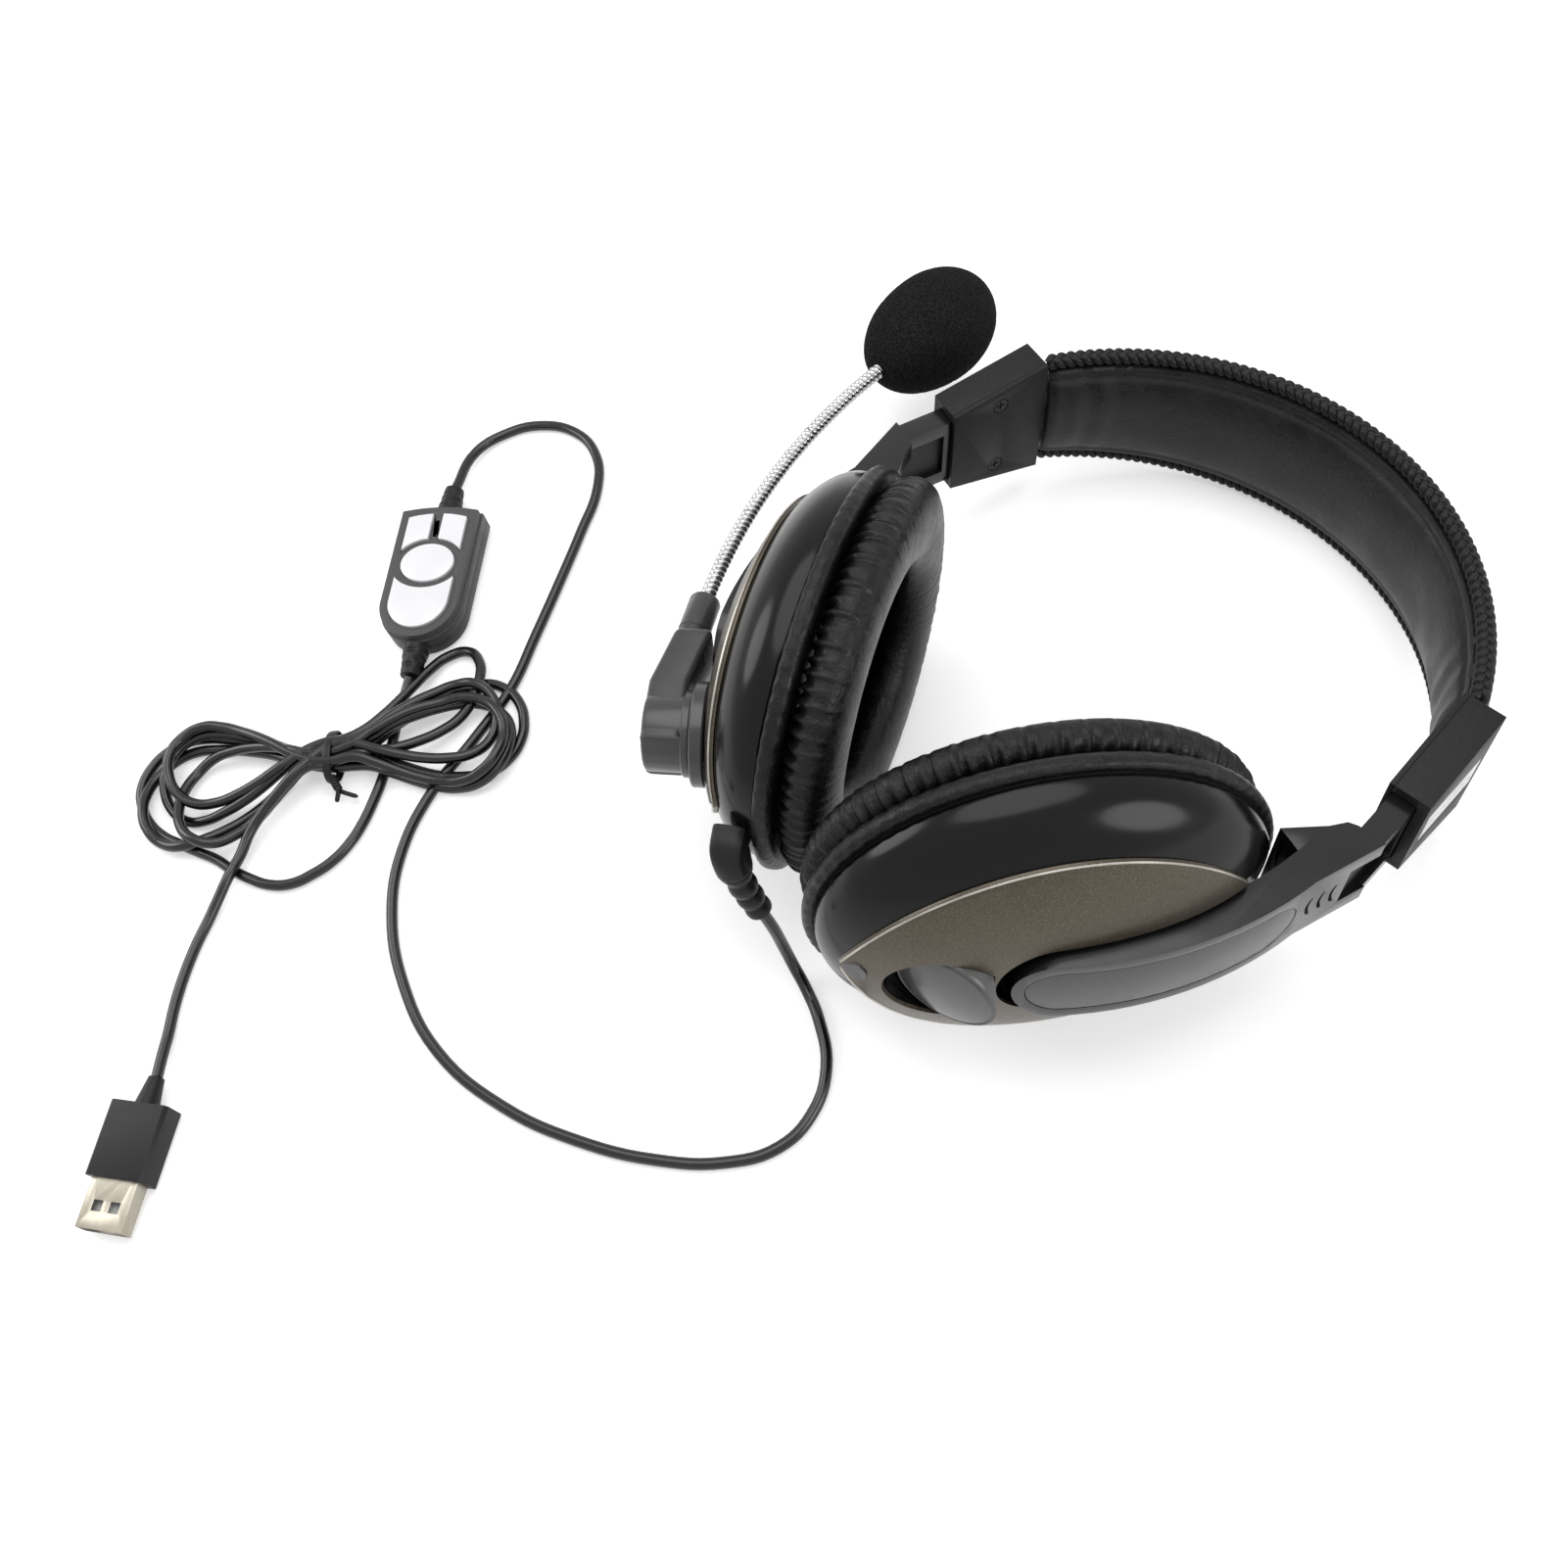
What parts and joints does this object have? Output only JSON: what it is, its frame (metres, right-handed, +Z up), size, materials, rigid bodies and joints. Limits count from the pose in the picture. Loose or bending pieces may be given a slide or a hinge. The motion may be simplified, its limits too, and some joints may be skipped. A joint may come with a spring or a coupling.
{
  "type": "office headset",
  "caption": "Over-ear corded headset with padded band, sliding arms, swivelling cups, gooseneck microphone, button remote and plug.",
  "frame": {"origin": "middle of the headset's box at table level, without the cord and what is on it; the headset lies on its side", "axes": "+X towards the plain cup, +Y towards the crown of the band, +Z up from the table"},
  "size_m": [0.2618, 0.3431, 0.0829],
  "materials": {
    "steel": "satin steel",
    "leatherette": "satin black leatherette with fine grain",
    "braid": "plaited black leatherette edging",
    "bracket_plastic": "charcoal, fine spark texture",
    "silver_inlay": "satin silver lacquer",
    "arm_plastic": "satin black",
    "arm_panel": "satin dark grey",
    "liner_nylon": "natural nylon",
    "gloss_black": "piano black",
    "gunmetal": "bronze grey metallic lacquer",
    "cap_grey": "glossy dark grey",
    "black_plastic": "matte black",
    "cloth": "black speaker cloth",
    "cone_film": "clear film, drawn solid",
    "chrome_spiral": "close-wound chrome spiral",
    "capsule_metal": "plain",
    "foam": "open-cell black foam",
    "cord_rubber": "satin black",
    "remote_plastic": "fine texture, dark grey",
    "board_green": "circuit board",
    "button_silver": "silver white",
    "plug_nickel": "nickel plated",
    "plug_insert": "white plastic with contacts"
  },
  "bodies": {
    "mic_cup": {"shell_l": "gloss_black", "eye_plate_l": "gunmetal", "hub_collar_l": "black_plastic", "baffle_l": "black_plastic", "pad_ring_l": "black_plastic", "cushion_l": "leatherette", "ear_cloth_l": "cloth", "driver_l": "steel", "diaphragm_l": "cone_film", "cup_screws_l": "steel", "ball_stud_l": "steel", "cup_boot": "cord_rubber", "cord_main": "cord_rubber", "cord_hank": "cord_rubber", "hank_tie": "black_plastic", "cord_tail": "cord_rubber", "remote_bottom": "remote_plastic", "remote_top": "remote_plastic", "remote_board": "board_green", "remote_boots": "cord_rubber", "plug_grip": "cord_rubber", "plug_shell": "plug_nickel", "plug_tongue": "plug_insert"},
    "liner_left": {"ball_liner_l": "liner_nylon"},
    "arm_left": {"arm_l": "arm_plastic", "arm_cover_l": "arm_panel"},
    "headband": {"band_spring": "steel", "band_pad": "leatherette", "band_cover": "leatherette", "edge_braid": "braid", "bracket_body_l": "bracket_plastic", "bracket_body_r": "bracket_plastic", "bracket_plates": "bracket_plastic", "bracket_screws": "steel", "bracket_inlays": "silver_inlay"},
    "arm_right": {"arm_r": "arm_plastic", "arm_cover_r": "arm_panel"},
    "liner_right": {"ball_liner_r": "liner_nylon"},
    "plain_cup": {"shell_r": "gloss_black", "eye_plate_r": "gunmetal", "end_cap_r": "cap_grey", "baffle_r": "black_plastic", "pad_ring_r": "black_plastic", "cushion_r": "leatherette", "ear_cloth_r": "cloth", "driver_r": "steel", "diaphragm_r": "cone_film", "cup_screws_r": "steel", "ball_stud_r": "steel"},
    "mic_boom": {"mic_hub": "cap_grey", "goose_1": "chrome_spiral"},
    "boom_middle": {"goose_2": "chrome_spiral"},
    "boom_end": {"goose_3": "chrome_spiral"},
    "mic_head": {"mic_collar": "black_plastic", "mic_capsule": "capsule_metal", "mic_foam": "foam"},
    "button_left_key": {"button_left": "button_silver"},
    "button_right_key": {"button_right": "button_silver"},
    "button_oval_key": {"button_oval": "button_silver"},
    "button_moon_key": {"button_moon": "button_silver"}
  },
  "joints": [
    {"name": "tilt_left", "type": "hinge", "parent": "mic_cup", "child": "liner_left", "pos_m": [-0.02846, -0.05203, 0.04399], "axis": [-0.5446, 0.8252, -0.1498], "range_deg": [-6, 6]},
    {"name": "swivel_left", "type": "hinge", "parent": "liner_left", "child": "arm_left", "pos_m": [-0.02846, -0.05203, 0.04399], "axis": [0, 0.1787, 0.9839], "range_deg": [0, 9]},
    {"name": "slider_left", "type": "slide", "parent": "arm_left", "child": "headband", "axis": [0.1564, 0.9718, -0.1765], "range_m": [-0.004, 0.013]},
    {"name": "slider_right", "type": "slide", "parent": "headband", "child": "arm_right", "axis": [0.1564, -0.9718, 0.1765], "range_m": [-0.004, 0.013]},
    {"name": "swivel_right", "type": "hinge", "parent": "arm_right", "child": "liner_right", "pos_m": [0.07554, -0.05203, 0.04399], "axis": [0, 0.1787, 0.9839], "range_deg": [0, 9]},
    {"name": "tilt_right", "type": "hinge", "parent": "liner_right", "child": "plain_cup", "pos_m": [0.07554, -0.05203, 0.04399], "axis": [0.4772, 0.8647, -0.157], "range_deg": [-6, 6]},
    {"name": "boom_turn", "type": "hinge", "parent": "mic_cup", "child": "mic_boom", "pos_m": [-0.01326, -0.07282, 0.04776], "axis": [0.672, 0.7287, -0.1323], "range_deg": [0, 180]},
    {"name": "goose_side_bend", "type": "hinge", "parent": "mic_boom", "child": "boom_middle", "pos_m": [-0.06021, -0.02835, 0.03969], "axis": [0, 0.1787, 0.9839], "range_deg": [-6, 25]},
    {"name": "goose_lift_bend", "type": "hinge", "parent": "boom_middle", "child": "boom_end", "pos_m": [-0.07234, -0.00104, 0.03473], "axis": [0.9466, 0.3171, -0.0576], "range_deg": [-20, 20]},
    {"name": "mic_bend", "type": "hinge", "parent": "boom_end", "child": "mic_head", "pos_m": [-0.07967, 0.02788, 0.02948], "axis": [0, 0.1787, 0.9839], "range_deg": [-20, 25]},
    {"name": "button_left_press", "type": "slide", "parent": "mic_cup", "child": "button_left_key", "axis": [0, 0, -1], "range_m": [0, 0.0006], "stiffness_N_per_m": 900, "springref_m": -0.0004},
    {"name": "button_right_press", "type": "slide", "parent": "mic_cup", "child": "button_right_key", "axis": [0, 0, -1], "range_m": [0, 0.0006], "stiffness_N_per_m": 900, "springref_m": -0.0004},
    {"name": "button_oval_press", "type": "slide", "parent": "mic_cup", "child": "button_oval_key", "axis": [0, 0, -1], "range_m": [0, 0.0006], "stiffness_N_per_m": 900, "springref_m": -0.0004},
    {"name": "button_moon_press", "type": "slide", "parent": "mic_cup", "child": "button_moon_key", "axis": [0, 0, -1], "range_m": [0, 0.0006], "stiffness_N_per_m": 900, "springref_m": -0.0004}
  ]
}
